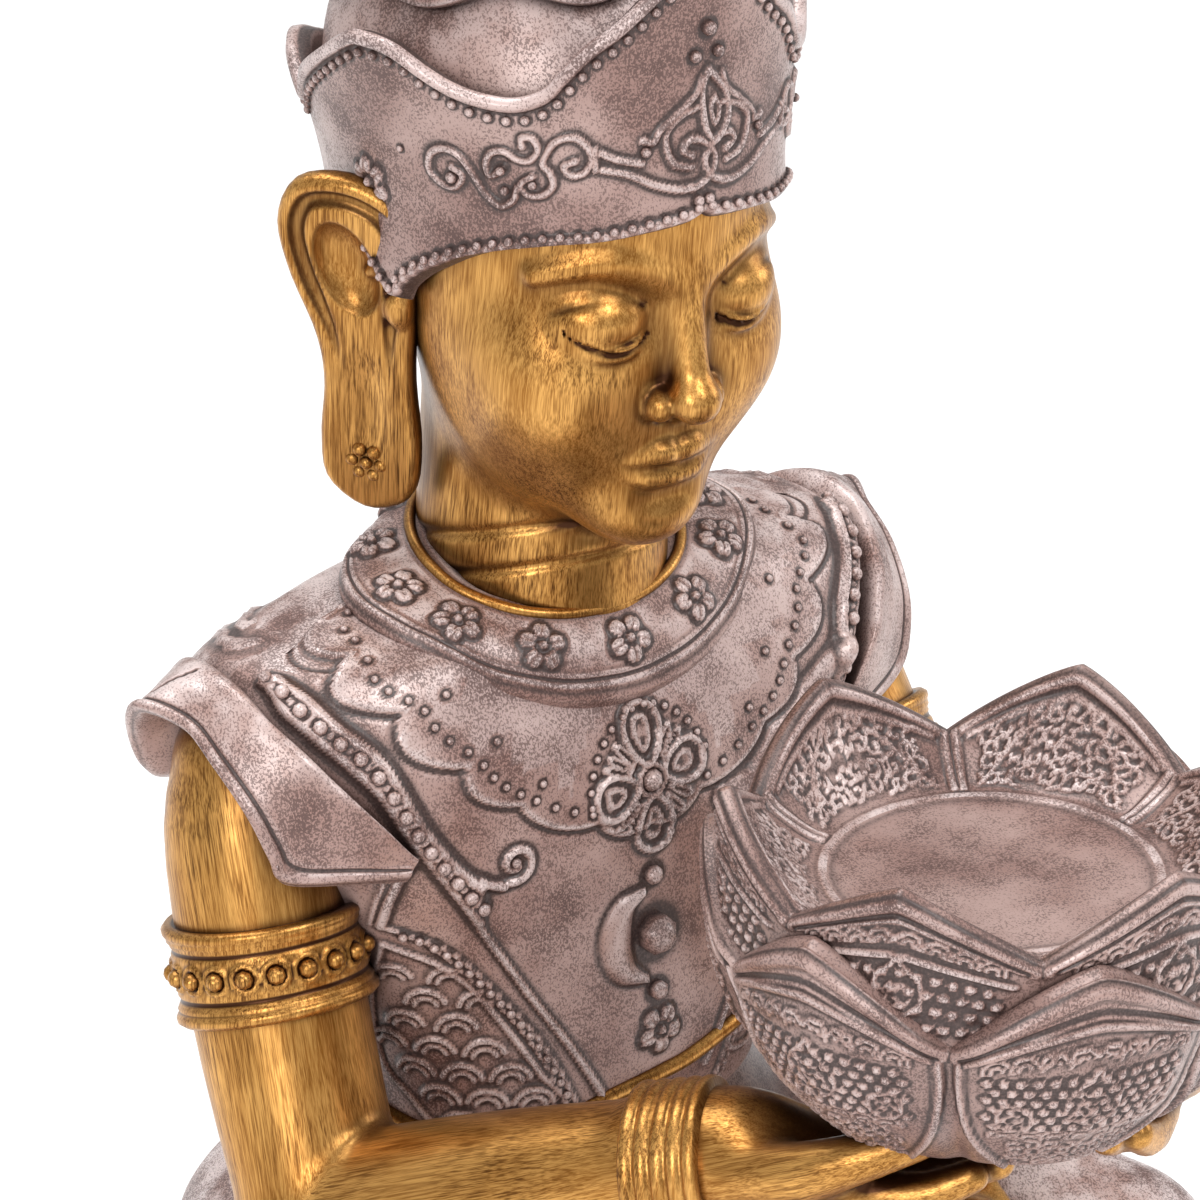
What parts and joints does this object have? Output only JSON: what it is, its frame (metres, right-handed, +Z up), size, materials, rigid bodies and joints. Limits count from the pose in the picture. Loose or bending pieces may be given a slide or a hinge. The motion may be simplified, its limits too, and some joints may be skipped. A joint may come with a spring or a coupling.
{
  "type": "seated buddha statue",
  "caption": "Crowned figure seated cross-legged on a low lotus base, both hands holding out a lotus bowl for a tealight; cast resin in gold and mauve paint.",
  "frame": {"origin": "on the flat underside, below the middle of the figure", "axes": "+Z up, the figure looks along -Y, its own left hand is towards +X"},
  "size_m": [0.224, 0.2155, 0.3465],
  "materials": {
    "mauve_paint": "satin mauve paint with a dark brown wash in the hollows",
    "gold_paint": "satin gold paint with dark brown brush streaks"
  },
  "bodies": {
    "root": {"statue": "mauve_paint"}
  },
  "joints": []
}
